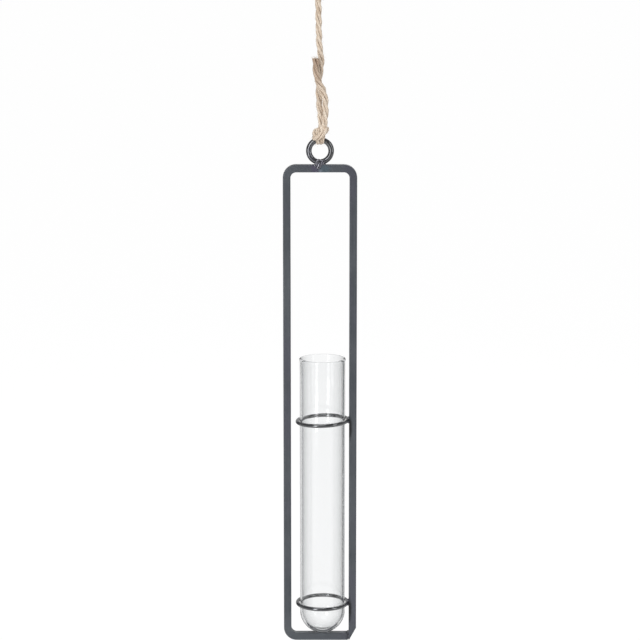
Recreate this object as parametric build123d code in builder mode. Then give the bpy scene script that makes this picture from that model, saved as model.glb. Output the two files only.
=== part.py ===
from build123d import *
from math import atan2, cos, hypot, pi, radians, sin, tan
import os

os.makedirs("parts", exist_ok=True)

# A hanging wall vase: a tall frame bent from square steel bar, hung by its eye ring from a knotted
# cord, with a round-bottomed glass tube standing in two wire rings. Millimetres, +Z up, the viewer
# at -Y. The origin is where a wall hook bears in the cord's loop.

# Frame. Its width follows from the tube, the rings and the gap beside them
frame_height = 259.0
ring_gap = 2.4
bar = 4.0
bar_edge = 0.4
bend_radius = 5.0
loop_to_eye = 102.0

# Closing joint at the lower right corner
joint_gap = 0.5
weld_crown = 0.15
weld_fillet = 1.0
ground_height = 8.0
ground_width = 3.6
ground_lip = 1.1

# Eye ring
eye_radius = 5.85
eye_wire = 3.0
eye_seat = 0.2
eye_weld_width = 7.6
eye_weld_depth = 5.0
eye_weld_height = 4.0
eye_weld_round = 0.6

# Glass tube
tube_diameter = 24.2
tube_length = 151.4
tube_wall = 1.2
tube_base = 1.9
lip_diameter = 24.8
lip_height = 3.0
lip_wall = 1.5
tube_seat_gap = 0.2

# Wire rings that hold the tube
ring_wire = 2.0
ring_clearance = 0.3
ring_seat = 0.2
ring_heights = {"upper": 121.6, "lower": 20.8}
ring_tilts = {"upper": 2.0, "lower": 0.4}
ring_weld_reach = 1.3
ring_weld_diameter = 3.4

# Cord
cord_diameter = 3.2
arc_share = 0.45
turn_width = 4.4
turn_thickness = 1.8
turn_clearance = 0.3
collar_radius = 2.8
collar_wire = 2.9
collar_rise = 4.4
collar_pitch = 28.0
collar_roll = 22.0
core_width = 5.4
core_depth = 4.6
core_bottom = 2.1
core_top = 7.6
loop_bore = 10.0
loop_leg_drop = 12.5
loop_leg_spread = 1.75
knot_wraps = 3
knot_groove = 0.75
knot_length = 9.0
knot_diameter = 9.4
knot_shift = -0.6
knot_top = -16.0

# Worked out from the sizes above
tube_radius = tube_diameter / 2
ring_radius = tube_radius + ring_clearance + ring_wire / 2
frame_width = 2 * bar + ring_gap + 2 * ring_radius + ring_wire - ring_seat
half_bar = bar / 2
leg_x = frame_width / 2 - half_bar
leg_face = frame_width / 2 - bar
eye_top = -loop_to_eye
eye_centre = eye_top - eye_radius
frame_top = eye_centre - eye_radius - eye_wire / 2 + eye_seat
frame_bottom = frame_top - frame_height
bottom_face = frame_bottom + bar
tube_x = leg_face + ring_seat - ring_radius - ring_wire / 2
tube_bottom = bottom_face + tube_seat_gap
tube_mouth = tube_bottom + tube_length


def finish(part, name):
    part.label = name
    export_step(part, f"parts/{name}.step")


# Frame bar, swept from the closing joint round three bends and down the right leg
with BuildPart() as frame_bar:
    with BuildLine(Plane.XZ) as bar_path:
        FilletPolyline(
            (leg_face - joint_gap, frame_bottom + half_bar),
            (-leg_x, frame_bottom + half_bar),
            (-leg_x, frame_top - half_bar),
            (leg_x, frame_top - half_bar),
            (leg_x, frame_bottom),
            radius=bend_radius,
        )
    with BuildSketch(Plane(bar_path.line @ 0, x_dir=(0, 1, 0), z_dir=bar_path.line % 0)):
        RectangleRounded(bar, bar, bar_edge)
    sweep()
    # The outer corner of the joint is ground off
    with BuildSketch(Plane.XZ):
        with BuildLine():
            Polyline(
                (frame_width / 2 + bar, frame_bottom - bar),
                (frame_width / 2 + bar, frame_bottom + ground_height),
                (frame_width / 2, frame_bottom + ground_height),
                (frame_width / 2 - ground_width, frame_bottom + ground_lip),
                (frame_width / 2 - bar, frame_bottom),
                (frame_width / 2 - bar, frame_bottom - bar),
                close=True,
            )
        make_face()
    extrude(amount=bar, both=True, mode=Mode.SUBTRACT)
finish(frame_bar.part, "frame_bar")

# Corner weld: the joint's filled gap, a little proud of the bar, with a fillet in the inner corner
with BuildPart() as corner_weld:
    with BuildSketch(Plane.XZ):
        with BuildLine():
            Polyline(
                (leg_face, frame_bottom),
                (leg_face, bottom_face + weld_fillet),
                (leg_face - joint_gap, bottom_face + weld_crown),
                (leg_face - joint_gap, frame_bottom),
                close=True,
            )
        make_face()
    extrude(amount=half_bar - bar_edge, both=True)
finish(corner_weld.part, "corner_weld")

# Eye ring, standing on the top bar with its foot cut flat
with BuildPart() as eye_ring:
    with BuildSketch(Plane.XY.offset(eye_centre)):
        with Locations((eye_radius, 0)):
            Circle(eye_wire / 2)
    revolve(axis=Axis((0, 0, eye_centre), (0, 1, 0)))
    split(bisect_by=Plane.XY.offset(frame_top), keep=Keep.TOP)
finish(eye_ring.part, "eye_ring")

# Weld round the foot of the eye ring, spilling over the bar's edges
with BuildPart() as eye_weld:
    with BuildSketch(Plane.XZ):
        with Locations((0, frame_top)):
            Ellipse(eye_weld_width / 2, eye_weld_height / 2)
    extrude(amount=eye_weld_depth / 2, both=True)
    fillet(eye_weld.edges().filter_by(GeomType.ELLIPSE), radius=eye_weld_round)
    add(frame_bar.part, mode=Mode.SUBTRACT)
    add(eye_ring.part, mode=Mode.SUBTRACT)
finish(eye_weld.part, "eye_weld")

# The two tube rings and their welds on the inner face of the right leg
for place, height in ring_heights.items():
    ring_z = frame_bottom + height
    ring_plane = Plane((tube_x, 0, ring_z)).rotated((0, -ring_tilts[place], 0))
    with BuildPart() as tube_ring:
        with BuildSketch(Plane(ring_plane.origin, x_dir=ring_plane.x_dir, z_dir=-ring_plane.y_dir)):
            with Locations((ring_radius, 0)):
                Circle(ring_wire / 2)
        revolve(axis=Axis(ring_plane.origin, ring_plane.z_dir))
        split(bisect_by=Plane.YZ.offset(leg_face), keep=Keep.BOTTOM)
    finish(tube_ring.part, f"{place}_tube_ring")

    weld_z = ring_z + ring_radius * sin(radians(ring_tilts[place]))
    with BuildPart() as ring_weld:
        with BuildSketch(Plane.XZ):
            with Locations((leg_face, weld_z)):
                Ellipse(ring_weld_reach, ring_weld_diameter / 2)
            with Locations((leg_face, weld_z)):
                Rectangle(bar, 2 * bar, align=(Align.MIN, Align.CENTER), mode=Mode.SUBTRACT)
                Rectangle(2 * bar, bar, align=(Align.CENTER, Align.MAX), mode=Mode.SUBTRACT)
        revolve(axis=Axis((0, 0, weld_z), (1, 0, 0)))
        add(tube_ring.part, mode=Mode.SUBTRACT)
    finish(ring_weld.part, f"{place}_ring_weld")

# Glass tube: one revolved wall with a round bottom and a small lip
with BuildPart() as glass_tube:
    with BuildSketch(Plane.XZ):
        with BuildLine():
            outer = tube_radius
            inner = tube_radius - tube_wall
            neck = tube_mouth - lip_height
            Line((0, tube_bottom), (0, tube_bottom + tube_base))
            ThreePointArc(
                (0, tube_bottom + tube_base),
                (inner * sin(pi / 4), tube_bottom + tube_base + inner * (1 - cos(pi / 4))),
                (inner, tube_bottom + tube_base + inner),
            )
            Line((inner, tube_bottom + tube_base + inner), (inner, neck))
            Line((inner, neck), (lip_diameter / 2 - lip_wall, tube_mouth - lip_wall / 2))
            ThreePointArc(
                (lip_diameter / 2 - lip_wall, tube_mouth - lip_wall / 2),
                (lip_diameter / 2 - lip_wall / 2, tube_mouth),
                (lip_diameter / 2, tube_mouth - lip_wall / 2),
            )
            Line((lip_diameter / 2, tube_mouth - lip_wall / 2), (outer, neck))
            Line((outer, neck), (outer, tube_bottom + outer))
            ThreePointArc(
                (outer, tube_bottom + outer),
                (outer * sin(pi / 4), tube_bottom + outer * (1 - cos(pi / 4))),
                (0, tube_bottom),
            )
        make_face()
    revolve(axis=Axis.Z)
glass_tube.part.position = (tube_x, 0, 0)
finish(glass_tube.part, "glass_tube")


def free_cord(points, name):
    """A round tube along straight runs joined by arcs as large as the runs allow."""
    points = [Vector(*p) for p in points]
    runs = [b - a for a, b in zip(points, points[1:])]
    radii = []
    for before, after in zip(runs, runs[1:]):
        shorter = min(before.length, after.length)
        radii.append(arc_share * shorter / tan(radians(before.get_angle(after) / 2)))
    print(name, "radii", [round(r, 1) for r in radii])
    with BuildPart() as tube:
        with BuildLine() as route:
            FilletPolyline(*points, radius=radii)
        with BuildSketch(Plane(route.line @ 0, z_dir=route.line % 0)):
            Circle(cord_diameter / 2)
        sweep()
    length = sum(edge.length for edge in route.line.edges())
    share = tube.part.volume / (pi * (cord_diameter / 2) ** 2 * length)
    print(name, "length", round(length, 1), "volume over section times length", round(share, 4))
    finish(tube.part, name)
    return tube.part


# Standing cord, from the top knot down behind the tail into the eye knot
cord = free_cord(
    [
        (-1.0, 0.0, -21.0),
        (-0.4, 0.2, -54.0),
        (-0.7, 0.5, -71.0),
        (-0.5, 0.9, -80.0),
        (0.2, 1.3, -87.0),
        (0.6, 1.5, -93.0),
        (0.6, 1.3, -96.0),
    ],
    "cord",
)

# Cut tail, from its end on the left across the front of the cord into the eye knot
cord_tail = free_cord(
    [
        (-2.0, -3.1, -59.6),
        (-1.9, -3.3, -66.0),
        (-0.7, -3.6, -72.5),
        (1.3, -2.9, -78.0),
        (2.9, -1.2, -83.0),
        (2.7, -1.2, -88.5),
        (1.9, -1.9, -93.5),
        (1.4, -1.9, -96.5),
    ],
    "cord_tail",
)

# Eye knot: a flattened turn under the ring's wire, a slanting collar and the strands inside it
turn_radius = eye_wire / 2 + turn_clearance + turn_thickness / 2
with BuildPart() as eye_knot:
    with BuildSketch(Plane.XY.offset(eye_top)):
        with Locations((0, -turn_radius)):
            Ellipse(turn_width / 2, turn_thickness / 2)
    revolve(axis=Axis((0, 0, eye_top), (1, 0, 0)), revolution_arc=180)
    with BuildSketch(Plane.XY.offset(eye_top)):
        with Locations((0, -turn_radius), (0, turn_radius)):
            Ellipse(turn_width / 2, turn_thickness / 2)
    extrude(amount=collar_rise)
    with BuildSketch(Plane.XY.offset(eye_top + core_bottom)):
        Ellipse(core_width / 2, core_depth / 2)
    extrude(amount=core_top - core_bottom)
    collar_plane = Plane((0, 0, eye_top + collar_rise)).rotated((collar_pitch, -collar_roll, 0))
    with BuildSketch(Plane(collar_plane.origin, x_dir=collar_plane.x_dir, z_dir=-collar_plane.y_dir)):
        with Locations((collar_radius, 0)):
            Circle(collar_wire / 2)
    revolve(axis=Axis(collar_plane.origin, collar_plane.z_dir))
finish(eye_knot.part, "eye_knot")

# Hanging loop, round a hook and back down into the top knot
loop_radius = loop_bore / 2 + cord_diameter / 2
loop_centre = -loop_bore / 2
leg_bottom = loop_centre - loop_leg_drop
reach = hypot(loop_leg_spread, loop_leg_drop)
lean = atan2(loop_leg_spread, loop_leg_drop)
touch = pi / 2 - atan2(loop_radius, (reach**2 - loop_radius**2) ** 0.5)
side = loop_radius * sin(touch - lean)
foot = loop_centre - loop_radius * cos(touch - lean)
with BuildPart() as hanging_loop:
    with BuildLine(Plane.XZ) as loop_path:
        Line((-loop_leg_spread, leg_bottom), (-side, foot))
        ThreePointArc((-side, foot), (0, loop_centre + loop_radius), (side, foot))
        Line((side, foot), (loop_leg_spread, leg_bottom))
    with BuildSketch(Plane(loop_path.line @ 0, z_dir=loop_path.line % 0)):
        Circle(cord_diameter / 2)
    sweep()
finish(hanging_loop.part, "hanging_loop")

# Top knot: a barrel of wraps round the cord and the legs of the loop
wrap = knot_length / knot_wraps
wrap_radius = knot_diameter / 2
groove_radius = wrap_radius - knot_groove
with BuildPart() as top_knot:
    with BuildSketch(Plane.XZ):
        with BuildLine():
            for turn in range(knot_wraps):
                high = knot_top - turn * wrap
                ThreePointArc(
                    (groove_radius, high),
                    (wrap_radius, high - wrap / 2),
                    (groove_radius, high - wrap),
                )
            Polyline(
                (groove_radius, knot_top - knot_length),
                (0, knot_top - knot_length),
                (0, knot_top),
                (groove_radius, knot_top),
            )
        make_face()
    revolve(axis=Axis.Z)
top_knot.part.position = (knot_shift, 0, 0)
finish(top_knot.part, "top_knot")
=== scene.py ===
import bpy
import bmesh
import random
from math import atan2, cos, hypot, pi, radians, sin, tau
from mathutils import Matrix, Vector, noise


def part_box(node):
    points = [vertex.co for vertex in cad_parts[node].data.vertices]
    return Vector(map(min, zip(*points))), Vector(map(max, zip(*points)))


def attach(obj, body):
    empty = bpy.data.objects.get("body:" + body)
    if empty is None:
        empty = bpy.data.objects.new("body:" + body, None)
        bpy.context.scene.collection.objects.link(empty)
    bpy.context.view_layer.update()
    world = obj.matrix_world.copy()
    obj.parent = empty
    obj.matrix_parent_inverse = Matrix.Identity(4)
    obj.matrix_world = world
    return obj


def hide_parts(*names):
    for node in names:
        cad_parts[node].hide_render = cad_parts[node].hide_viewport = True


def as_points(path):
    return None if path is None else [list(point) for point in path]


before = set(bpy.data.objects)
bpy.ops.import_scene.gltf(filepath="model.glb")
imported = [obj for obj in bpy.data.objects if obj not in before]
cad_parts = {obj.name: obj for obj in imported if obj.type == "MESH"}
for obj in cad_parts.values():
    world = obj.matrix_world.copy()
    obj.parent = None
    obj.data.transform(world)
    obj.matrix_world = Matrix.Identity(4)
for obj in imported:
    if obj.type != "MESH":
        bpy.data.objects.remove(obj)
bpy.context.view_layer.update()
mm = 0.001

# Boxes of the CAD nodes that the pieces are placed by
barLow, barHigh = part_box("frame_bar")
eyeLow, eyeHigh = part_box("eye_ring")
tubeLow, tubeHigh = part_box("glass_tube")
print("frame loaded", [round(v, 4) for v in barLow + barHigh])


# Camera at the photograph's viewpoint, for a square picture
cameraSet = {"focalPixels": 2389, "picturePixels": 640, "sensor": 36.0,
             "distance": 1245 * mm, "height": 32 * mm, "pitch": 10.46}

cameraData = bpy.data.cameras.new("camera")
cameraData.sensor_width = cameraSet["sensor"]
cameraData.lens = cameraSet["sensor"] * cameraSet["focalPixels"] / cameraSet["picturePixels"]
camera = bpy.data.objects.new("camera", cameraData)
camera.location = (0, -cameraSet["distance"], cameraSet["height"])
camera.rotation_euler = (radians(90 - cameraSet["pitch"]), 0, 0)
bpy.context.collection.objects.link(camera)
bpy.context.scene.camera = camera
bpy.context.scene.view_settings.view_transform = "Standard"
print("camera placed")


def linkPiece(name, mesh, body, material, slot, *nodes):
    piece = bpy.data.objects.new(name, mesh)
    bpy.context.collection.objects.link(piece)
    mesh.materials.append(material)
    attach(piece, body)
    if nodes:
        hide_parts(*nodes)
    return piece


def meshFrom(bm, name, merge=0.0):
    if merge:
        bmesh.ops.remove_doubles(bm, verts=bm.verts, dist=merge)
    bmesh.ops.recalc_face_normals(bm, faces=bm.faces)
    for face in bm.faces:
        face.smooth = True
    mesh = bpy.data.meshes.new(name)
    bm.to_mesh(mesh)
    bm.free()
    return mesh


# Node helpers
def addNode(tree, kind, values=None, **settings):
    made = tree.nodes.new(kind)
    for key, value in settings.items():
        setattr(made, key, value)
    for key, value in (values or {}).items():
        made.inputs[key].default_value = value
    return made


def newMaterial(name, shaderValues):
    material = bpy.data.materials.new(name)
    material.use_nodes = True
    tree = material.node_tree
    tree.nodes.clear()
    shader = addNode(tree, "ShaderNodeBsdfPrincipled", shaderValues)
    output = addNode(tree, "ShaderNodeOutputMaterial")
    tree.links.new(shader.outputs["BSDF"], output.inputs["Surface"])
    return material, tree, shader


def newGroup(name, inputs, outputs):
    group = bpy.data.node_groups.new(name, "ShaderNodeTree")
    for kind, label, value in inputs:
        socket = group.interface.new_socket(label, in_out="INPUT", socket_type="NodeSocket" + kind)
        socket.default_value = value
    for kind, label in outputs:
        group.interface.new_socket(label, in_out="OUTPUT", socket_type="NodeSocket" + kind)
    return group, addNode(group, "NodeGroupInput"), addNode(group, "NodeGroupOutput")


def mixColour(tree, factor, first, second):
    mix = addNode(tree, "ShaderNodeMix", data_type="RGBA")
    for socket, value in ((mix.inputs["Factor"], factor), (mix.inputs[6], first), (mix.inputs[7], second)):
        if isinstance(value, bpy.types.NodeSocket):
            tree.links.new(value, socket)
        else:
            socket.default_value = value
    return mix.outputs[2]


def remap(tree, value, low, high, toLow=0.0, toHigh=1.0, smooth=False):
    node = addNode(tree, "ShaderNodeMapRange",
                   {"From Min": low, "From Max": high, "To Min": toLow, "To Max": toHigh},
                   interpolation_type="SMOOTHSTEP" if smooth else "LINEAR")
    tree.links.new(value, node.inputs["Value"])
    return node.outputs["Result"]


def combine(tree, operation, first, second):
    node = addNode(tree, "ShaderNodeMath", operation=operation)
    for socket, value in zip(node.inputs, (first, second)):
        if isinstance(value, bpy.types.NodeSocket):
            tree.links.new(value, socket)
        else:
            socket.default_value = value
    return node.outputs[0]


def objectPlace(tree):
    return addNode(tree, "ShaderNodeTexCoord").outputs["Object"]


def bumpFrom(tree, height, shader, strength, distance):
    bump = addNode(tree, "ShaderNodeBump", {"Strength": strength, "Distance": distance})
    tree.links.new(height, bump.inputs["Height"])
    tree.links.new(bump.outputs["Normal"], shader.inputs["Normal"])


# Skin of blackened steel: cloudy patches, fine grain and drawn streaks along the bar or wire
skinSet = {"grain": 900.0, "stretch": (1500, 1500, 28), "bloom": 38.0, "bloomShare": 0.7, "streakHeight": 0.5,
           "rag": 700.0, "spotCore": 0.35}


def makeSteelSkin():
    group, put, get = newGroup(
        "steelSkin",
        [("Vector", "Along", (0, 0, 0)), ("Color", "Dark", (0.05, 0.055, 0.065, 1)),
         ("Color", "Light", (0.1, 0.105, 0.115, 1)), ("Color", "Bloom", (0.075, 0.07, 0.09, 1)),
         ("Float", "Patch Scale", 60.0), ("Float", "Streak", 0.5), ("Float", "Smooth", 0.3),
         ("Float", "Rough", 0.5)],
        [("Color", "Color"), ("Float", "Roughness"), ("Float", "Height")])
    join = group.links.new
    place = objectPlace(group)
    patch = addNode(group, "ShaderNodeTexNoise", {"Detail": 3.0, "Roughness": 0.55})
    join(place, patch.inputs["Vector"])
    join(put.outputs["Patch Scale"], patch.inputs["Scale"])
    grain = addNode(group, "ShaderNodeTexNoise", {"Scale": skinSet["grain"], "Detail": 4.0, "Roughness": 0.65})
    join(place, grain.inputs["Vector"])
    stretch = addNode(group, "ShaderNodeMapping", {"Scale": skinSet["stretch"]})
    join(put.outputs["Along"], stretch.inputs["Vector"])
    streak = addNode(group, "ShaderNodeTexNoise", {"Scale": 1.0, "Detail": 3.0, "Roughness": 0.6})
    join(stretch.outputs["Vector"], streak.inputs["Vector"])
    bloom = addNode(group, "ShaderNodeTexNoise", {"Scale": skinSet["bloom"], "Detail": 2.0})
    join(place, bloom.inputs["Vector"])
    base = mixColour(group, remap(group, patch.outputs["Fac"], 0.35, 0.65), put.outputs["Dark"],
                     put.outputs["Light"])
    bloomed = mixColour(group, remap(group, bloom.outputs["Fac"], 0.5, 0.66, 0, skinSet["bloomShare"]), base,
                        put.outputs["Bloom"])
    streaks = combine(group, "MULTIPLY", remap(group, streak.outputs["Fac"], 0.35, 0.7),
                      put.outputs["Streak"])
    join(mixColour(group, streaks, bloomed, put.outputs["Light"]), get.inputs["Color"])
    rough = addNode(group, "ShaderNodeMapRange")
    join(grain.outputs["Fac"], rough.inputs["Value"])
    join(put.outputs["Smooth"], rough.inputs["To Min"])
    join(put.outputs["Rough"], rough.inputs["To Max"])
    join(rough.outputs["Result"], get.inputs["Roughness"])
    streakHeight = combine(group, "MULTIPLY", streak.outputs["Fac"], skinSet["streakHeight"])
    join(combine(group, "ADD", streakHeight, grain.outputs["Fac"]), get.inputs["Height"])
    return group


# Soft spot round a point, for heat tint beside a weld and painted shade below a ring weld
def makeSpotMask():
    group, put, get = newGroup(
        "spotMask",
        [("Vector", "Centre", (0, 0, 0)), ("Vector", "Reach", (0.003, 0.003, 0.003)), ("Float", "Ragged", 0.3)],
        [("Float", "Mask")])
    join = group.links.new
    place = objectPlace(group)
    offset = addNode(group, "ShaderNodeVectorMath", operation="SUBTRACT")
    join(place, offset.inputs[0])
    join(put.outputs["Centre"], offset.inputs[1])
    share = addNode(group, "ShaderNodeVectorMath", operation="DIVIDE")
    join(offset.outputs["Vector"], share.inputs[0])
    join(put.outputs["Reach"], share.inputs[1])
    far = addNode(group, "ShaderNodeVectorMath", operation="LENGTH")
    join(share.outputs["Vector"], far.inputs[0])
    rag = addNode(group, "ShaderNodeTexNoise", {"Scale": skinSet["rag"], "Detail": 3.0})
    join(place, rag.inputs["Vector"])
    wobble = combine(group, "MULTIPLY", combine(group, "SUBTRACT", rag.outputs["Fac"], 0.5),
                     put.outputs["Ragged"])
    reached = combine(group, "ADD", far.outputs["Value"], wobble)
    join(remap(group, reached, 1.0, skinSet["spotCore"], 0, 1, smooth=True), get.inputs["Mask"])
    return group


steelSkin = makeSteelSkin()
spotMask = makeSpotMask()

# Weld places on the frame
eyeFoot = Vector((0, 0, barHigh[2]))
legFace = barHigh[0] - 4.0 * mm
weldPlaces = {}
for place in ("upper", "lower"):
    weldBoxLow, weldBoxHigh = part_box(place + "_ring_weld")
    weldPlaces[place] = Vector((legFace, 0, (weldBoxLow[2] + weldBoxHigh[2]) / 2))

barSpots = [
    {"at": eyeFoot + Vector((-2.4, -2.0, -2.0)) * mm, "reach": (3.6, 3.0, 3.4), "tintAndShade": (0.085, 0.08, 0.12, 1)},
    {"at": eyeFoot + Vector((2.4, -2.0, -2.4)) * mm, "reach": (4.2, 3.0, 3.6), "tintAndShade": (0.085, 0.115, 0.14, 1)},
    {"at": eyeFoot + Vector((0.2, -2.0, -3.1)) * mm, "reach": (1.4, 2.0, 0.9), "tintAndShade": (0.15, 0.18, 0.22, 1)},
]
# Painted shade: a near-black patch on the leg below each ring weld
for spot in weldPlaces.values():
    barSpots.append({"at": spot + Vector((0.2, -1.6, -4.2)) * mm, "reach": (1.9, 3.2, 9.0),
                     "tintAndShade": (0.012, 0.013, 0.016, 1)})

steelFinishes = {
    "barSteel": {"shader": {"Metallic": 0.55, "Coat Weight": 0.35, "Coat Roughness": 0.25},
                 "skin": {"Dark": (0.064, 0.073, 0.086, 1), "Light": (0.098, 0.108, 0.122, 1),
                          "Bloom": (0.08, 0.078, 0.108, 1), "Patch Scale": 45.0, "Streak": 0.55,
                          "Smooth": 0.3, "Rough": 0.5},
                 "bump": 0.25, "bumpDepth": 0.0002, "spots": barSpots},
    "wireSteel": {"shader": {"Metallic": 0.9, "Coat Weight": 1.0, "Coat Roughness": 0.07, "Coat IOR": 1.9},
                  "skin": {"Dark": (0.03, 0.031, 0.034, 1), "Light": (0.075, 0.08, 0.086, 1),
                           "Bloom": (0.05, 0.05, 0.075, 1), "Patch Scale": 90.0, "Streak": 0.5,
                           "Smooth": 0.16, "Rough": 0.34},
                  "bump": 0.1, "bumpDepth": 0.0002, "spots": []},
    "weldSteel": {"shader": {"Metallic": 0.8, "Coat Weight": 1.0, "Coat Roughness": 0.08, "Coat IOR": 1.8},
                  "skin": {"Dark": (0.03, 0.032, 0.04, 1), "Light": (0.12, 0.125, 0.15, 1),
                           "Bloom": (0.06, 0.055, 0.085, 1), "Patch Scale": 350.0, "Streak": 0.2,
                           "Smooth": 0.15, "Rough": 0.4},
                  "bump": 0.35, "bumpDepth": 0.0003, "spots": []},
}


def steelMaterial(name, finish):
    material, tree, shader = newMaterial(name, finish["shader"])
    skin = addNode(tree, "ShaderNodeGroup", node_tree=steelSkin)
    for key, value in finish["skin"].items():
        skin.inputs[key].default_value = value
    along = addNode(tree, "ShaderNodeAttribute", attribute_name="strandPlace")
    tree.links.new(along.outputs["Vector"], skin.inputs["Along"])
    colour = skin.outputs["Color"]
    # Heat tint round the eye weld, and painted shade below the ring welds
    for spot in finish["spots"]:
        mask = addNode(tree, "ShaderNodeGroup", node_tree=spotMask)
        mask.inputs["Centre"].default_value = spot["at"]
        mask.inputs["Reach"].default_value = [r * mm for r in spot["reach"]]
        colour = mixColour(tree, mask.outputs["Mask"], colour, spot["tintAndShade"])
    tree.links.new(colour, shader.inputs["Base Color"])
    tree.links.new(skin.outputs["Roughness"], shader.inputs["Roughness"])
    bumpFrom(tree, skin.outputs["Height"], shader, finish["bump"], finish["bumpDepth"])
    return material


steels = {name: steelMaterial(name, finish) for name, finish in steelFinishes.items()}


# Jute: pale fibres along the strands, browned at the cut end; the lay colour is painted shade deep in the
# grooves between the strands
juteSet = {"pale": (0.88, 0.78, 0.66, 1), "deep": (0.5, 0.37, 0.26, 1), "lay": (0.2, 0.12, 0.07, 1),
           "brown": (0.24, 0.13, 0.07, 1), "fibre": (2.4, 2.4, 170), "blotch": 240.0,
           "blotchShare": 0.5, "paintedShadeShare": 0.85, "brownShare": 0.7, "bump": 0.6, "bumpDepth": 0.0002}


def juteMaterial():
    material, tree, shader = newMaterial("jute", {"Roughness": 0.9, "Sheen Weight": 0.2, "Sheen Roughness": 0.6,
                                                  "Specular IOR Level": 0.2})
    along = addNode(tree, "ShaderNodeAttribute", attribute_name="strandPlace")
    fibreMap = addNode(tree, "ShaderNodeMapping", {"Scale": juteSet["fibre"]})
    tree.links.new(along.outputs["Vector"], fibreMap.inputs["Vector"])
    fibre = addNode(tree, "ShaderNodeTexNoise", {"Scale": 1.0, "Detail": 4.0, "Roughness": 0.7})
    tree.links.new(fibreMap.outputs["Vector"], fibre.inputs["Vector"])
    blotch = addNode(tree, "ShaderNodeTexNoise", {"Scale": juteSet["blotch"], "Detail": 3.0})
    tree.links.new(objectPlace(tree), blotch.inputs["Vector"])
    base = mixColour(tree, remap(tree, fibre.outputs["Fac"], 0.36, 0.62), juteSet["deep"], juteSet["pale"])
    blotched = mixColour(tree, remap(tree, blotch.outputs["Fac"], 0.5, 0.75, 0, juteSet["blotchShare"]), base,
                       juteSet["deep"])
    # Painted shade: the lay colour darkens points that lie deep between the strands
    hollow = addNode(tree, "ShaderNodeAttribute", attribute_name="hollow").outputs["Fac"]
    grooveShaded = mixColour(tree, remap(tree, hollow, 0.12, 0.75, 0, juteSet["paintedShadeShare"], smooth=True), blotched,
                    juteSet["lay"])
    age = addNode(tree, "ShaderNodeAttribute", attribute_name="browned").outputs["Fac"]
    aged = mixColour(tree, age, grooveShaded, mixColour(tree, juteSet["brownShare"], grooveShaded, juteSet["brown"]))
    tree.links.new(aged, shader.inputs["Base Color"])
    bumpFrom(tree, fibre.outputs["Fac"], shader, juteSet["bump"], juteSet["bumpDepth"])
    return material


jute = juteMaterial()

# Clear glass: painted shade, greyer where the wall turns edge-on, and faintly smeared
glassShadeSet = {"facing": (0.95, 0.955, 0.957, 1), "edge": (0.42, 0.43, 0.435, 1), "turn": (0.1, 1.0),
             "smear": 0.03, "smearScale": 45.0, "ior": 1.32}
glass, glassTree, glassShader = newMaterial("clearGlass", {"Transmission Weight": 1.0, "IOR": glassShadeSet["ior"],
                                                       "Specular IOR Level": 0.25})
turned = addNode(glassTree, "ShaderNodeLayerWeight", {"Blend": 0.5}).outputs["Facing"]
glassTree.links.new(mixColour(glassTree, remap(glassTree, turned, *glassShadeSet["turn"]), glassShadeSet["facing"],
                              glassShadeSet["edge"]), glassShader.inputs["Base Color"])
glassSmear = addNode(glassTree, "ShaderNodeTexNoise", {"Scale": glassShadeSet["smearScale"], "Detail": 3.0})
glassTree.links.new(objectPlace(glassTree), glassSmear.inputs["Vector"])
glassTree.links.new(remap(glassTree, glassSmear.outputs["Fac"], 0.3, 0.7, 0.0, glassShadeSet["smear"]),
                    glassShader.inputs["Roughness"])
print("materials made")


def lengthOf(line):
    return sum((b - a).length for a, b in zip(line, line[1:]))


def evenly(line, step):
    count = max(2, round(lengthOf(line) / step))
    gap = lengthOf(line) / count
    points, walked, target = [line[0].copy()], 0.0, gap
    for a, b in zip(line, line[1:]):
        run = (b - a).length
        while run > 0 and walked + run >= target - 1e-12 and len(points) < count:
            points.append(a.lerp(b, (target - walked) / run))
            target += gap
        walked += run
    return points + [line[-1].copy()]


# Smooth centreline: a NURBS line with the route's own points, read back as evenly spaced points
def smoothLine(name, route, step):
    curve = bpy.data.curves.new(name, "CURVE")
    curve.dimensions = "3D"
    curve.resolution_u = 24
    spline = curve.splines.new("NURBS")
    spline.points.add(len(route) - 1)
    for point, place in zip(spline.points, route):
        point.co = (*place, 1)
    spline.order_u = 3
    spline.use_endpoint_u = True
    holder = bpy.data.objects.new(name, curve)
    mesh = bpy.data.meshes.new_from_object(holder)
    line = [v.co.copy() for v in mesh.vertices]
    bpy.data.meshes.remove(mesh)
    bpy.data.objects.remove(holder)
    bpy.data.curves.remove(curve)
    return evenly(line, step)


# Frames carried along a line without twist: place, across, up, ahead
def carriedFrames(line):
    frames, across = [], None
    for i, place in enumerate(line):
        ahead = (line[min(i + 1, len(line) - 1)] - line[max(i - 1, 0)]).normalized()
        if across is None:
            across = ahead.cross(Vector((0, 1, 0))).normalized()
        across = (across - ahead * across.dot(ahead)).normalized()
        frames.append((place, across, ahead.cross(across), ahead))
    return frames


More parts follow.
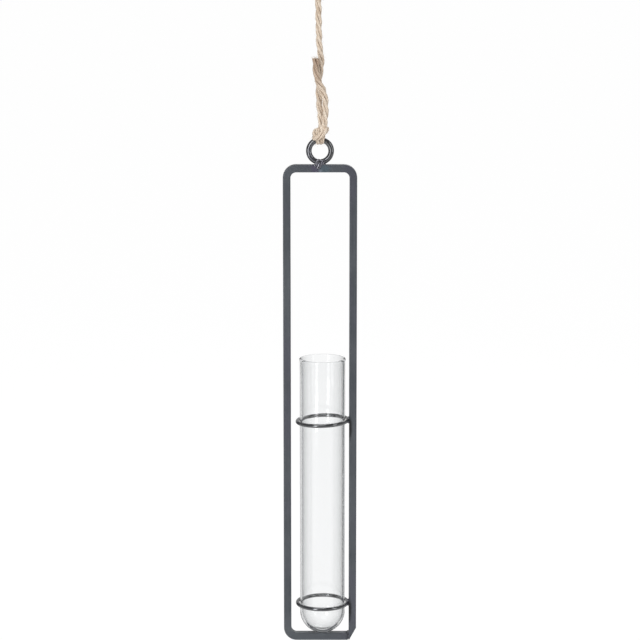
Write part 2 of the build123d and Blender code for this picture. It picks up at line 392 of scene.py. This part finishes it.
# Sweeps a closed section along frames, one extruded ring at a time
def sweepSection(bm, frames, sides, sectionAt, layAt, grooveShadeDepthAt=None):
    layers = bm.verts.layers
    sideLayer = layers.int.get("side") or layers.int.new("side")
    placeLayer = layers.float_vector.get("strandPlace") or layers.float_vector.new("strandPlace")
    # hollow: depth into the cord, which the jute darkens as painted shade
    grooveShadeLayer = layers.float.get("hollow") or layers.float.new("hollow")

    def setRing(verts, index):
        place, across, up, ahead = frames[index]
        for v in verts:
            x, y = sectionAt(index, v[sideLayer])
            v.co = place + across * x + up * y
            v[placeLayer] = layAt(index, v[sideLayer])
            if grooveShadeDepthAt:
                v[grooveShadeLayer] = grooveShadeDepthAt(index, v.co)

    verts = bmesh.ops.create_circle(bm, segments=sides, radius=1, cap_ends=True)["verts"]
    for i, v in enumerate(verts):
        v[sideLayer] = i
    ring = set(verts)
    edges = [e for e in bm.edges if ring.issuperset(e.verts)]
    setRing(verts, 0)
    for index in range(1, len(frames)):
        made = bmesh.ops.extrude_edge_only(bm, edges=edges)["geom"]
        verts = [g for g in made if isinstance(g, bmesh.types.BMVert)]
        ring = set(verts)
        edges = [g for g in made if isinstance(g, bmesh.types.BMEdge) and ring.issuperset(g.verts)]
        setRing(verts, index)
    bmesh.ops.contextual_create(bm, geom=edges)


# Laid cord: three strands wound round a line, each ribbed by its own yarns
ropeSet = {"diameter": 3.2 * mm, "strands": 3, "lay": 20 * mm, "strandShare": 0.5, "offsetShare": 0.54,
           "sides": 16, "yarns": 5, "ribShare": 0.08, "yarnTwist": 7 * mm, "step": 0.4 * mm,
           "wander": 0.08, "wanderRate": 300, "swellRate": 420, "frayReach": 4 * mm}


def easeBetween(table, share):
    for (a, low), (b, high) in zip(table, table[1:]):
        if share <= b:
            t = (share - a) / (b - a)
            return low + (high - low) * (3 * t * t - 2 * t * t * t)
    return table[-1][1]


def layRope(name, route, girth=((0, 1), (1, 1)), browned=0.0, fray=0.0, turn=0.0, seed=1):
    rope = ropeSet
    line = smoothLine(name, route, rope["step"])
    frames = carriedFrames(line)
    last = len(line) - 1
    total = lengthOf(line)
    gap = total / last
    radius = rope["diameter"] / 2
    widths = [easeBetween(girth, i / last) for i in range(len(line))]
    bm = bmesh.new()
    for strand in range(rope["strands"]):
        centres = []
        for i, (place, across, up, ahead) in enumerate(frames):
            angle = turn + tau * strand / rope["strands"] - tau * i * gap / rope["lay"]
            wanderPlace = Vector((i * gap * rope["wanderRate"], strand * 7.3, seed))
            wander = 1 + rope["wander"] * noise.noise(wanderPlace)
            spread = 1 + fray * max(0.0, 1 - i * gap / rope["frayReach"]) ** 2
            out = radius * rope["offsetShare"] * widths[i] * wander * spread
            centres.append(place + across * out * cos(angle) + up * out * sin(angle))

        def ribbed(i, side):
            angle = tau * side / rope["sides"]
            yarn = angle * rope["yarns"] + 2 * tau * i * gap / rope["yarnTwist"]
            swellPlace = Vector((i * gap * rope["swellRate"], strand * 3.1, seed + 5))
            swell = 1 + rope["wander"] * noise.noise(swellPlace)
            reach = radius * rope["strandShare"] * widths[i] * swell * (1 + rope["ribShare"] * cos(yarn))
            return reach * cos(angle), reach * sin(angle)

        def layPlace(i, side):
            angle = tau * side / rope["sides"] + 0.4 * tau * i * gap / rope["yarnTwist"]
            return (cos(angle) + strand * 3, sin(angle) + seed * 2, i * gap)

        # Depth into the cord, for painted shade in the grooves
        def grooveShadeDepthAt(i, co):
            return 1 - min(1.0, (co - line[i]).length / (radius * widths[i]))

        sweepSection(bm, carriedFrames(centres), rope["sides"], ribbed, layPlace, grooveShadeDepthAt)
    mesh = meshFrom(bm, name)
    if browned:
        values = mesh.attributes.new("browned", "FLOAT", "POINT")
        for v, value in zip(mesh.vertices, values.data):
            share = min(1.0, (v.co - line[0]).length / browned)
            value.value = (1 - share) ** 0.6
    print("rope", name, "length", round(total / mm, 1), "faces", len(mesh.polygons))
    return mesh, line


def scaled(points, origin=(0, 0, 0)):
    return [Vector(origin) + Vector(p) * mm for p in points]


# Standing cord and cut tail, routed to hang as in the photograph
cordRoute = scaled([(-1.0, 0.0, -21.0), (-0.6, 0.2, -50.0), (0.0, 0.6, -55.5), (0.8, 0.9, -60.5),
                    (0.3, 0.8, -65.5), (-0.6, 0.5, -70.5), (-0.6, 0.8, -80.0), (-0.1, 1.2, -86.5),
                    (0.5, 1.4, -91.5), (0.6, 1.3, -96.0)])
tailRoute = scaled([(-2.2, -3.1, -59.6), (-2.3, -3.3, -65.0), (-1.7, -3.5, -69.5), (0.0, -3.4, -73.0),
                    (1.9, -2.7, -76.5), (2.8, -2.0, -81.0), (2.9, -1.6, -86.5), (2.6, -1.6, -91.5),
                    (1.8, -1.8, -96.5)])
cordMesh, cordLine = layRope("standingCord", cordRoute, seed=1)
tailMesh, tailLine = layRope("cutTail", tailRoute, browned=17 * mm, fray=0.4, turn=0.8, seed=2)
standingCord = linkPiece("standingCord", cordMesh, "cord", jute, "jute", "cord")
cutTail = linkPiece("cutTail", tailMesh, "cord", jute, "jute", "cord_tail")

# Eye knot: two turns under the wire, and a collar that slants across in front of them
wireTop = Vector((0, 0, eyeHigh[2] - 1.5 * mm))
knotRoute = scaled([(0.6, 1.5, 8.0), (0.5, 1.2, 5.6), (0.1, -0.8, 3.6), (-1.1, -2.3, 1.5), (-1.1, -2.3, -0.6),
                    (-0.7, 0.0, -2.1), (-0.7, 2.2, -0.6), (0.2, 2.8, 1.8), (1.8, 2.9, 4.2), (3.0, 1.9, 5.8),
                    (3.4, -0.4, 5.9), (2.9, -2.6, 5.1), (1.6, -3.8, 3.6), (-0.2, -4.1, 2.0), (-1.9, -3.5, 1.0),
                    (-2.8, -1.8, 1.2), (-2.8, 0.2, 2.6), (-2.1, 1.9, 4.4), (-0.9, 3.0, 5.2), (0.5, 3.1, 3.6),
                    (0.9, 2.6, 1.0), (0.9, 1.9, -0.9), (0.75, 0.0, -2.1), (1.2, -2.3, -0.6), (1.7, -2.6, 1.5),
                    (1.5, -2.2, 4.4), (1.7, -1.9, 7.5)], wireTop)
knotGirth = ((0, 0.95), (0.1, 0.8), (0.17, 0.7), (0.25, 0.6), (0.33, 0.85), (0.45, 0.95), (0.6, 1.0),
             (0.7, 0.85), (0.78, 0.6), (0.88, 0.7), (0.94, 0.8), (1, 0.95))
knotMesh, knotLine = layRope("eyeKnot", knotRoute, girth=knotGirth, seed=3)
eyeKnot = linkPiece("eyeKnot", knotMesh, "cord", jute, "jute", "eye_knot")

# Hanging loop and the wraps that close it
loopSet = {"centre": -5.0, "reach": 7.1, "points": 8, "from": -42.0, "legs": ((3.6, -13.5), (1.75, -18.5))}
wrapSet = {"x": -0.6, "radius": 3.25, "top": -17.6, "pitch": 2.95, "turns": 3, "points": 12,
           "start": (-0.6, 0.5, -17.6), "end": ((2.0, 2.6, -27.4), (2.6, 2.2, -29.0))}


def loopRoute():
    points = [(-x, 0, z) for x, z in reversed(loopSet["legs"])]
    sweep = 180 - 2 * loopSet["from"]
    for i in range(loopSet["points"]):
        angle = radians(180 - loopSet["from"] - sweep * i / (loopSet["points"] - 1))
        points.append((loopSet["reach"] * cos(angle), 0, loopSet["centre"] + loopSet["reach"] * sin(angle)))
    return scaled(points + [(x, 0, z) for x, z in loopSet["legs"]])


def wrapRoute():
    points = [wrapSet["start"]]
    for i in range(wrapSet["turns"] * wrapSet["points"] + 1):
        angle = tau * i / wrapSet["points"] + pi / 2
        points.append((wrapSet["x"] + wrapSet["radius"] * cos(angle), wrapSet["radius"] * sin(angle),
                       wrapSet["top"] - wrapSet["pitch"] * i / wrapSet["points"]))
    return scaled(points + list(wrapSet["end"]))


loopMesh, loopLine = layRope("hangingLoop", loopRoute(), seed=4)
hangingLoop = linkPiece("hangingLoop", loopMesh, "cord", jute, "jute", "hanging_loop")
wrapMesh, wrapLine = layRope("topKnot", wrapRoute(), girth=((0, 0.9), (1, 0.9)), seed=5)
topKnot = linkPiece("topKnot", wrapMesh, "cord", jute, "jute", "top_knot")

# Stray fibres that stand off the cord, and the frayed yarns of the cut end
fuzzSet = {"perMillimetre": 2.2, "longest": 3.2 * mm, "shortest": 0.8 * mm, "thick": 0.03 * mm, "seed": 11,
           "bends": 4, "yarns": 26, "yarnLength": 2.2 * mm, "yarnThick": 4.0}


def addFibre(curve, start, way, droop, reach, thick):
    spline = curve.splines.new("POLY")
    spline.points.add(fuzzSet["bends"])
    for k, point in enumerate(spline.points):
        t = k / fuzzSet["bends"]
        point.co = (*(start + (way * t + droop * t * t) * reach), 1)
        point.radius = thick * (1 - 0.6 * t)


def strayFibres(name, lines):
    rng = random.Random(fuzzSet["seed"])
    curve = bpy.data.curves.new(name, "CURVE")
    curve.dimensions = "3D"
    curve.bevel_depth = fuzzSet["thick"]
    curve.bevel_resolution = 0
    for line in lines:
        frames = carriedFrames(line)
        for _ in range(int(lengthOf(line) / mm * fuzzSet["perMillimetre"])):
            place, across, up, ahead = rng.choice(frames[2:-2])
            angle = rng.uniform(0, tau)
            out = across * cos(angle) + up * sin(angle)
            lean = ahead * rng.choice((-1, 1)) * rng.uniform(0.6, 2.2)
            lean += out.cross(ahead) * rng.uniform(-0.8, 0.8)
            addFibre(curve, place + out * ropeSet["diameter"] * 0.46,
                     (out * rng.uniform(0.25, 0.8) + lean).normalized(), out * rng.uniform(-0.5, 0.4),
                     rng.uniform(fuzzSet["shortest"], fuzzSet["longest"]), 1.0)
    return curve, rng


def finishFibres(name, curve):
    holder = bpy.data.objects.new(name, curve)
    mesh = bpy.data.meshes.new_from_object(holder)
    bpy.data.objects.remove(holder)
    mesh.name = name
    return mesh


fuzzCurve, fuzzRandom = strayFibres("cordFuzz", [cordLine, tailLine, knotLine, loopLine, wrapLine])
endPlace, endAcross, endUp, endAhead = carriedFrames(tailLine)[0]
for _ in range(fuzzSet["yarns"]):
    angle = fuzzRandom.uniform(0, tau)
    out = endAcross * cos(angle) + endUp * sin(angle)
    start = endPlace + out * ropeSet["diameter"] * fuzzRandom.uniform(0.1, 0.5) + endAhead * 0.3 * mm
    addFibre(fuzzCurve, start, (out * fuzzRandom.uniform(0.0, 0.7) - endAhead).normalized(),
             out * fuzzRandom.uniform(-0.3, 0.4), fuzzSet["yarnLength"] * fuzzRandom.uniform(0.4, 1.0),
             fuzzSet["yarnThick"] * fuzzRandom.uniform(0.5, 1.0))
cordFuzz = linkPiece("cordFuzz", finishFibres("cordFuzz", fuzzCurve), "cord", jute, "jute")

tuple(cordLine[-1])
lengthOf(cordLine)
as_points(cordLine)
tuple(tailLine[-1])
lengthOf(tailLine)
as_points(tailLine)
print("cords laid")


# Frame bar: a rounded square swept along the bends, its lower right corner ground off
barSet = {"bar": 4.0 * mm, "edge": 0.2 * mm, "edgeSteps": 4, "faceSteps": 3, "hollow": 0.05 * mm,
          "bend": 5.0 * mm, "bendSteps": 16, "runStep": 4.0 * mm, "jointGap": 0.5 * mm,
          "groundHeight": 6.9 * mm, "groundWidth": 3.75 * mm, "wave": 0.04 * mm, "waveRate": 60}


def barLine():
    half = barSet["bar"] / 2
    left, right = barLow[0] + half, barHigh[0] - half
    low, high = barLow[2] + half, barHigh[2] - half
    corners = [Vector((x, 0, z)) for x, z in ((barHigh[0] - barSet["bar"] - barSet["jointGap"], low),
               (left, low), (left, high), (right, high), (right, barLow[2]))]
    points = [corners[0]]
    for before, corner, after in zip(corners, corners[1:], corners[2:]):
        into = (corner - before).normalized()
        out = (after - corner).normalized()
        start = corner - into * barSet["bend"]
        run = start - points[-1]
        steps = max(1, round(run.length / barSet["runStep"]))
        points += [points[-1] + run * k / steps for k in range(1, steps)]
        centre = start + out * barSet["bend"]
        for k in range(barSet["bendSteps"] + 1):
            angle = pi / 2 * k / barSet["bendSteps"]
            points.append(centre - out * barSet["bend"] * cos(angle) + into * barSet["bend"] * sin(angle))
    run = corners[-1] - points[-1]
    steps = round(run.length / barSet["runStep"])
    return points + [points[-1] + run * k / steps for k in range(1, steps + 1)]


# Square section with rounded edges and faces that dish a little, as drawn bar has
def squareSection():
    reach = barSet["bar"] / 2 - barSet["edge"]
    points = []
    for corner in range(4):
        turned = Matrix.Rotation(pi / 2 * corner, 2)
        for k in range(barSet["edgeSteps"] + 1):
            angle = pi / 2 * k / barSet["edgeSteps"]
            around = Vector((cos(angle), sin(angle))) * barSet["edge"]
            points.append(turned @ (Vector((reach, reach)) + around))
        for k in range(1, barSet["faceSteps"] + 1):
            along = 1 - 2 * k / (barSet["faceSteps"] + 1)
            dish = barSet["hollow"] * (1 - along * along)
            points.append(turned @ Vector((reach * along, barSet["bar"] / 2 - dish)))
    return points


section = squareSection()
barPoints = barLine()
barFrames = carriedFrames(barPoints)
barGone = [lengthOf(barPoints[:i + 1]) for i in range(len(barPoints))]


def barSection(index, side):
    place = barFrames[index][0]
    wavePlace = Vector((place.x * barSet["waveRate"], side * 0.15, place.z * barSet["waveRate"]))
    wave = 1 + barSet["wave"] * noise.noise(wavePlace) / barSet["bar"]
    return section[side].x * wave, section[side].y * wave


def barLay(index, side):
    return (section[side].x, section[side].y, barGone[index])


barBm = bmesh.new()
sweepSection(barBm, barFrames, len(section), barSection, barLay)
groundTop = Vector((barHigh[0], 0, barLow[2] + barSet["groundHeight"]))
groundSlope = Vector((barSet["groundHeight"], 0, -barSet["groundWidth"])).normalized()
bmesh.ops.bisect_plane(barBm, geom=barBm.verts[:] + barBm.edges[:] + barBm.faces[:], dist=1e-7,
                       plane_co=groundTop, plane_no=groundSlope, clear_outer=True)
bmesh.ops.contextual_create(barBm, geom=[e for e in barBm.edges if e.is_boundary])
frameBar = linkPiece("frameBar", meshFrom(barBm, "frameBar"), "frame", steels["barSteel"], "dark_steel",
                     "frame_bar")
print("bar bent, faces", len(frameBar.data.polygons))


# Wire rings: a round section spun about the ring's axis
def wireRing(name, centre, radius, wire, axis, start, slot, node, steps=120, sides=28):
    bm = bmesh.new()
    axis, start = Vector(axis).normalized(), Vector(start).normalized()
    turned = Matrix((start, axis, start.cross(axis))).transposed().to_4x4()
    bmesh.ops.create_circle(bm, segments=sides, radius=wire / 2,
                            matrix=Matrix.Translation(Vector(centre) + start * radius) @ turned)
    bmesh.ops.spin(bm, geom=bm.verts[:] + bm.edges[:], cent=centre, axis=axis, angle=tau, steps=steps,
                   use_merge=True)
    mesh = meshFrom(bm, name, merge=1e-6)
    places = mesh.attributes.new("strandPlace", "FLOAT_VECTOR", "POINT")
    sideways = axis.cross(start)
    for v, value in zip(mesh.vertices, places.data):
        arm = v.co - Vector(centre)
        flat = hypot(arm.dot(start), arm.dot(sideways))
        value.vector = (flat - radius, arm.dot(axis), radius * atan2(-arm.dot(sideways), -arm.dot(start)))
    return linkPiece(name, mesh, "frame", steels["wireSteel"], slot, node)


eyeWire = 3.0 * mm
eyeRadius = (eyeHigh[0] - eyeLow[0] - eyeWire) / 2
eyeCentre = Vector((0, 0, eyeHigh[2] - eyeWire / 2 - eyeRadius))
wireRing("eyeRing", eyeCentre, eyeRadius, eyeWire, (0, 1, 0), (0, 0, -1), "dark_steel", "eye_ring")

tubeX = (tubeLow[0] + tubeHigh[0]) / 2
holderSet = {"wire": 2.0 * mm, "radius": 13.4 * mm,
             "rings": {"upper": {"height": 121.6 * mm, "tilt": 2.0},
                       "lower": {"height": 20.8 * mm, "tilt": 0.4}}}
for place, ring in holderSet["rings"].items():
    tilt = radians(ring["tilt"])
    wireRing(place + "TubeRing", Vector((tubeX, 0, barLow[2] + ring["height"])), holderSet["radius"],
             holderSet["wire"], (-sin(tilt), 0, cos(tilt)), (cos(tilt), 0, sin(tilt)), "ring_steel",
             place + "_tube_ring", steps=144, sides=20)
print("rings made")


# Weld beads: overlapping drops fused into one skin, then roughened
def weldBead(name, middle, drops, node, voxel=0.13 * mm, roughness=0.06 * mm, lumps=900):
    bm = bmesh.new()
    for x, y, z, size in drops:
        move = Matrix.Translation(middle + Vector((x, y, z)) * mm)
        stretch = Matrix.Diagonal((*[s * mm for s in size], 1))
        bmesh.ops.create_icosphere(bm, subdivisions=3, radius=1, matrix=move @ stretch)
    draft = bpy.data.objects.new(name, meshFrom(bm, name))
    bpy.context.collection.objects.link(draft)
    fuse = draft.modifiers.new("fuse", "REMESH")
    fuse.mode = "VOXEL"
    fuse.voxel_size = voxel
    calm = draft.modifiers.new("calm", "SMOOTH")
    calm.iterations = 3
    graph = bpy.context.evaluated_depsgraph_get()
    mesh = bpy.data.meshes.new_from_object(draft.evaluated_get(graph))
    bpy.data.objects.remove(draft)
    bm = bmesh.new()
    bm.from_mesh(mesh)
    bm.normal_update()
    for v in bm.verts:
        v.co += v.normal * roughness * noise.noise(v.co * lumps)
    return linkPiece(name, meshFrom(bm, name), "frame", steels["weldSteel"], "weld_steel", node)


# Each drop: place in millimetres from the weld's middle, then its half sizes
eyeDrops = ((-1.7, -0.7, 0.9, (1.2, 1.2, 1.5)), (1.2, -0.7, 0.8, (1.1, 1.2, 1.5)),
            (-0.3, -1.7, -0.3, (1.3, 0.8, 1.6)), (-0.9, -2.0, -1.5, (1.1, 0.5, 0.9)),
            (-0.8, -0.4, 2.2, (1.7, 1.2, 0.8)), (-2.5, -1.6, -0.3, (0.9, 0.6, 0.9)),
            (2.3, -0.8, 0.1, (0.9, 1.2, 0.6)), (0.0, 1.6, 0.2, (2.6, 0.8, 1.4)))
ringDrops = ((0.3, 0.0, 0.9, (0.8, 1.5, 0.9)), (0.3, -0.2, -1.0, (0.8, 1.6, 1.0)),
             (0.35, -1.1, 0.0, (0.8, 0.9, 1.1)), (0.35, 1.1, 0.0, (0.8, 0.9, 1.1)))
cornerDrops = ((0.0, 0.0, -2.0, (0.5, 2.06, 2.1)), (0.0, -1.3, 0.1, (0.8, 0.85, 0.55)),
               (0.1, 0.2, 0.2, (0.8, 1.3, 0.6)), (0.0, 1.3, 0.1, (0.7, 0.7, 0.5)))
weldBead("eyeWeld", eyeFoot, eyeDrops, "eye_weld")
for place, spot in weldPlaces.items():
    weldBead(place + "RingWeld", spot - Vector((0.55, 0, 0)) * mm, ringDrops, place + "_ring_weld",
             voxel=0.1 * mm)
weldBead("cornerWeld", Vector((legFace - barSet["jointGap"] / 2, 0, barLow[2] + barSet["bar"])), cornerDrops,
         "corner_weld", voxel=0.1 * mm)
print("welds laid")


# Glass tube: one wall lathed from its profile
glassSet = {"wall": 1.0 * mm, "base": 1.5 * mm, "lipHeight": 2.0 * mm, "lipWall": 1.6 * mm,
            "diameter": 24.2 * mm, "arcSteps": 24, "lipSteps": 12, "wallSteps": 8, "spins": 160}


def glassProfile():
    outer = glassSet["diameter"] / 2
    inner = outer - glassSet["wall"]
    lip = (tubeHigh[0] - tubeLow[0]) / 2
    half = glassSet["lipWall"] / 2
    low, mouth = tubeLow[2], tubeHigh[2]
    neck = mouth - glassSet["lipHeight"]
    innerLow = low + glassSet["base"]
    arc = [pi / 2 * k / glassSet["arcSteps"] for k in range(glassSet["arcSteps"] + 1)]
    run = [k / glassSet["wallSteps"] for k in range(1, glassSet["wallSteps"] + 1)]
    points = [(outer * sin(a), low + outer * (1 - cos(a))) for a in arc]
    points += [(outer, low + outer + (neck - low - outer) * t) for t in run]
    points.append(((outer + lip) / 2, (neck + mouth - half) / 2))
    for k in range(glassSet["lipSteps"] + 1):
        angle = pi * k / glassSet["lipSteps"]
        points.append((lip - half + half * cos(angle), mouth - half + half * sin(angle)))
    points.append((inner, neck))
    points += [(inner, neck + (innerLow + inner - neck) * t) for t in run]
    return points + [(inner * sin(a), innerLow + inner * (1 - cos(a))) for a in reversed(arc[:-1])]


glassBm = bmesh.new()
profile = [glassBm.verts.new((tubeX + r, 0, z)) for r, z in glassProfile()]
for a, b in zip(profile, profile[1:]):
    glassBm.edges.new((a, b))
bmesh.ops.spin(glassBm, geom=glassBm.verts[:] + glassBm.edges[:], cent=(tubeX, 0, 0), axis=(0, 0, 1),
               angle=tau, steps=glassSet["spins"], use_merge=True)
glassTube = linkPiece("glassTube", meshFrom(glassBm, "glassTube", merge=1e-6), "tube", glass, "clear_glass",
                      "glass_tube")
print("tube lathed, faces", len(glassTube.data.polygons))


# Floor far below the hanging vase, and soft light
stageSet = {"floorDrop": 0.16, "floorSize": 80.0, "white": (1, 1, 1, 1), "floorGlow": 1.07,
            "shadowShare": 0.12, "worldStrength": 0.5, "studioShade": 0.24, "backShade": 0.42,
            "sideShade": 0.72, "aim": (0, 0, -0.25)}

floorMesh = bpy.data.meshes.new("floor")
floorBm = bmesh.new()
bmesh.ops.create_grid(floorBm, x_segments=1, y_segments=1, size=stageSet["floorSize"] / 2,
                      matrix=Matrix.Translation((0, 0, barLow[2] - stageSet["floorDrop"])))
floorBm.to_mesh(floorMesh)
floorBm.free()
floor = bpy.data.objects.new("floor", floorMesh)
bpy.context.collection.objects.link(floor)

floorPaint, floorTree, floorShader = newMaterial("floorPaint", {"Base Color": (0.85, 0.85, 0.85, 1),
                                                                "Roughness": 0.9})
floorPath = addNode(floorTree, "ShaderNodeLightPath").outputs
floorSeen = combine(floorTree, "MAXIMUM", floorPath["Is Camera Ray"], floorPath["Is Transmission Ray"])
floorGlow = addNode(floorTree, "ShaderNodeEmission",
                    {"Color": stageSet["white"], "Strength": stageSet["floorGlow"]})
floorMix = addNode(floorTree, "ShaderNodeMixShader")
floorTree.links.new(remap(floorTree, floorSeen, 0, 1, 0, 1 - stageSet["shadowShare"]), floorMix.inputs["Fac"])
floorTree.links.new(floorShader.outputs["BSDF"], floorMix.inputs[1])
floorTree.links.new(floorGlow.outputs["Emission"], floorMix.inputs[2])
floorOut = next(n for n in floorTree.nodes if n.type == "OUTPUT_MATERIAL")
floorTree.links.new(floorMix.outputs["Shader"], floorOut.inputs["Surface"])
floorMesh.materials.append(floorPaint)

# The world is white to the camera; reflections see the dimmer studio in front, glass the dimmer sides
world = bpy.data.worlds.new("world")
bpy.context.scene.world = world
world.use_nodes = True
worldTree = world.node_tree
worldTree.nodes.clear()
worldPath = addNode(worldTree, "ShaderNodeLightPath").outputs
direction = addNode(worldTree, "ShaderNodeSeparateXYZ")
worldTree.links.new(addNode(worldTree, "ShaderNodeTexCoord").outputs["Generated"], direction.inputs["Vector"])
behind = remap(worldTree, direction.outputs["Y"], -0.3, 0.7, stageSet["studioShade"], stageSet["backShade"],
               smooth=True)
sideways = remap(worldTree, direction.outputs["Y"], 0.2, 0.95, stageSet["sideShade"], 1.0, smooth=True)
glossyPart = combine(worldTree, "MULTIPLY", worldPath["Is Glossy Ray"], behind)
glassPart = combine(worldTree, "MULTIPLY", worldPath["Is Transmission Ray"], sideways)
seen = combine(worldTree, "MAXIMUM", worldPath["Is Camera Ray"],
               combine(worldTree, "MAXIMUM", glossyPart, glassPart))
unseen = combine(worldTree, "SUBTRACT", 1.0, combine(
    worldTree, "MAXIMUM", worldPath["Is Camera Ray"],
    combine(worldTree, "MAXIMUM", worldPath["Is Glossy Ray"], worldPath["Is Transmission Ray"])))
strength = combine(worldTree, "ADD", seen, combine(worldTree, "MULTIPLY", unseen, stageSet["worldStrength"]))
sky = addNode(worldTree, "ShaderNodeBackground", {"Color": stageSet["white"]})
worldTree.links.new(strength, sky.inputs["Strength"])
worldOut = addNode(worldTree, "ShaderNodeOutputWorld")
worldTree.links.new(sky.outputs["Background"], worldOut.inputs["Surface"])

lampSet = {"tallStrip": {"place": (-0.6, -1.0, -0.15), "size": (0.3, 1.6), "power": 8.5},
           "softBox": {"place": (0.98, -0.69, 0.1), "size": (0.35, 0.9), "power": 2.8},
           "topBox": {"place": (-0.1, -0.5, 0.9), "size": (0.6, 0.6), "power": 3.0},
           "backBox": {"place": (0.3, 1.0, 0.5), "size": (0.6, 0.6), "power": 3.0}}
for name, lamp in lampSet.items():
    light = bpy.data.lights.new(name, "AREA")
    light.shape = "RECTANGLE"
    light.size, light.size_y = lamp["size"]
    light.energy = lamp["power"]
    holder = bpy.data.objects.new(name, light)
    holder.location = lamp["place"]
    aim = Vector(stageSet["aim"]) - Vector(lamp["place"])
    holder.rotation_euler = aim.to_track_quat("-Z", "Y").to_euler()
    bpy.context.collection.objects.link(holder)
print("stage and light set")
